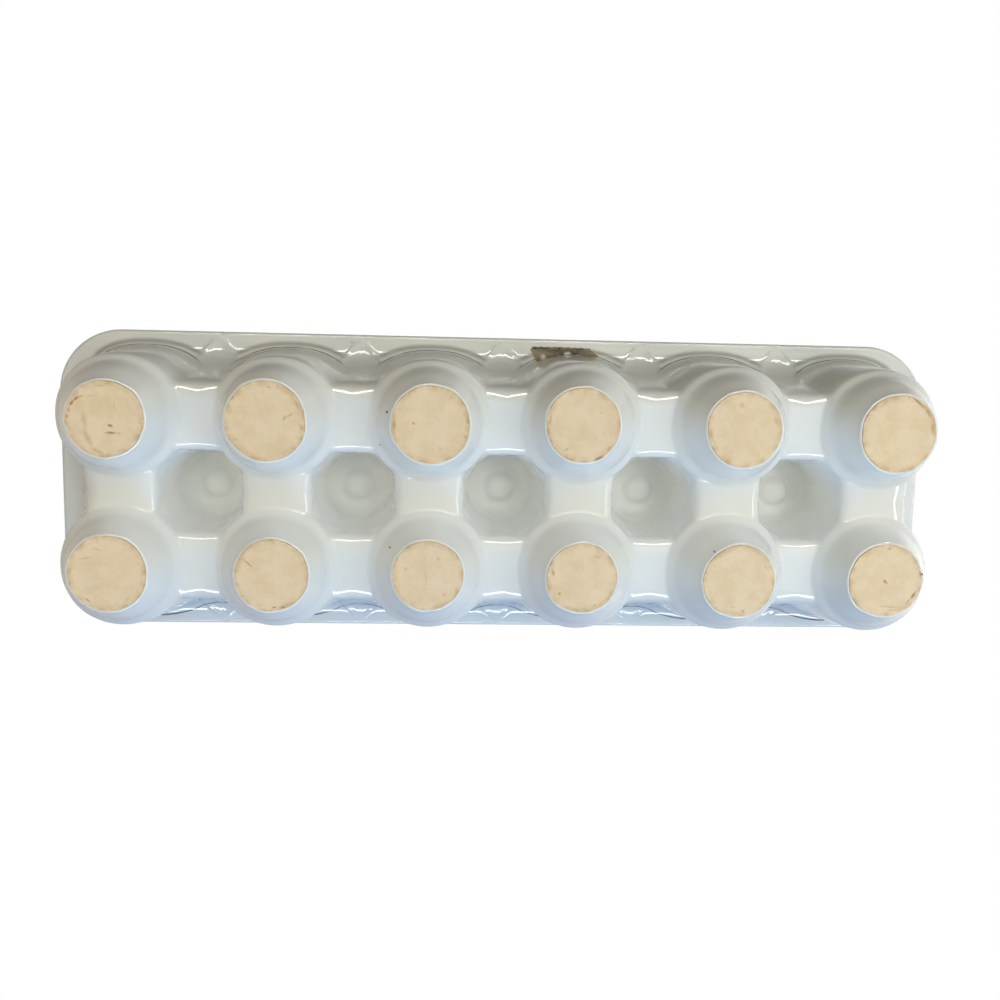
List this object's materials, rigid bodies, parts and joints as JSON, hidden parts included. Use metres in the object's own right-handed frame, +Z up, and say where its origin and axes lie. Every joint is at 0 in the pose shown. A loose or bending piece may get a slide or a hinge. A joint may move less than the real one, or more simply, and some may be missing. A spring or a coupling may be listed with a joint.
{
  "type": "ceramic egg tray",
  "caption": "Glazed ceramic egg tray: deep round cups in rows, joined by low saddles and hollow posts under a flat rim with rounded corners, standing on bare clay feet.",
  "frame": {"origin": "middle of the tray's footprint on the resting plane, at the level of the feet", "axes": "+X along the long side, +Y across the rows from row a to row b, +Z up, out of the open cups"},
  "size_m": [0.35, 0.1186, 0.059],
  "materials": {
    "white_glaze": "glossy white glaze, slightly uneven, thicker at the edges of the saddles and feet",
    "bare_clay": "matt beige bisque, mottled, with a few dark flecks"
  },
  "bodies": {
    "root": {"tray_body": "white_glaze", "foot_a1": "bare_clay", "foot_a2": "bare_clay", "foot_a3": "bare_clay", "foot_a4": "bare_clay", "foot_a5": "bare_clay", "foot_a6": "bare_clay", "foot_b1": "bare_clay", "foot_b2": "bare_clay", "foot_b3": "bare_clay", "foot_b4": "bare_clay", "foot_b5": "bare_clay", "foot_b6": "bare_clay"}
  },
  "joints": []
}
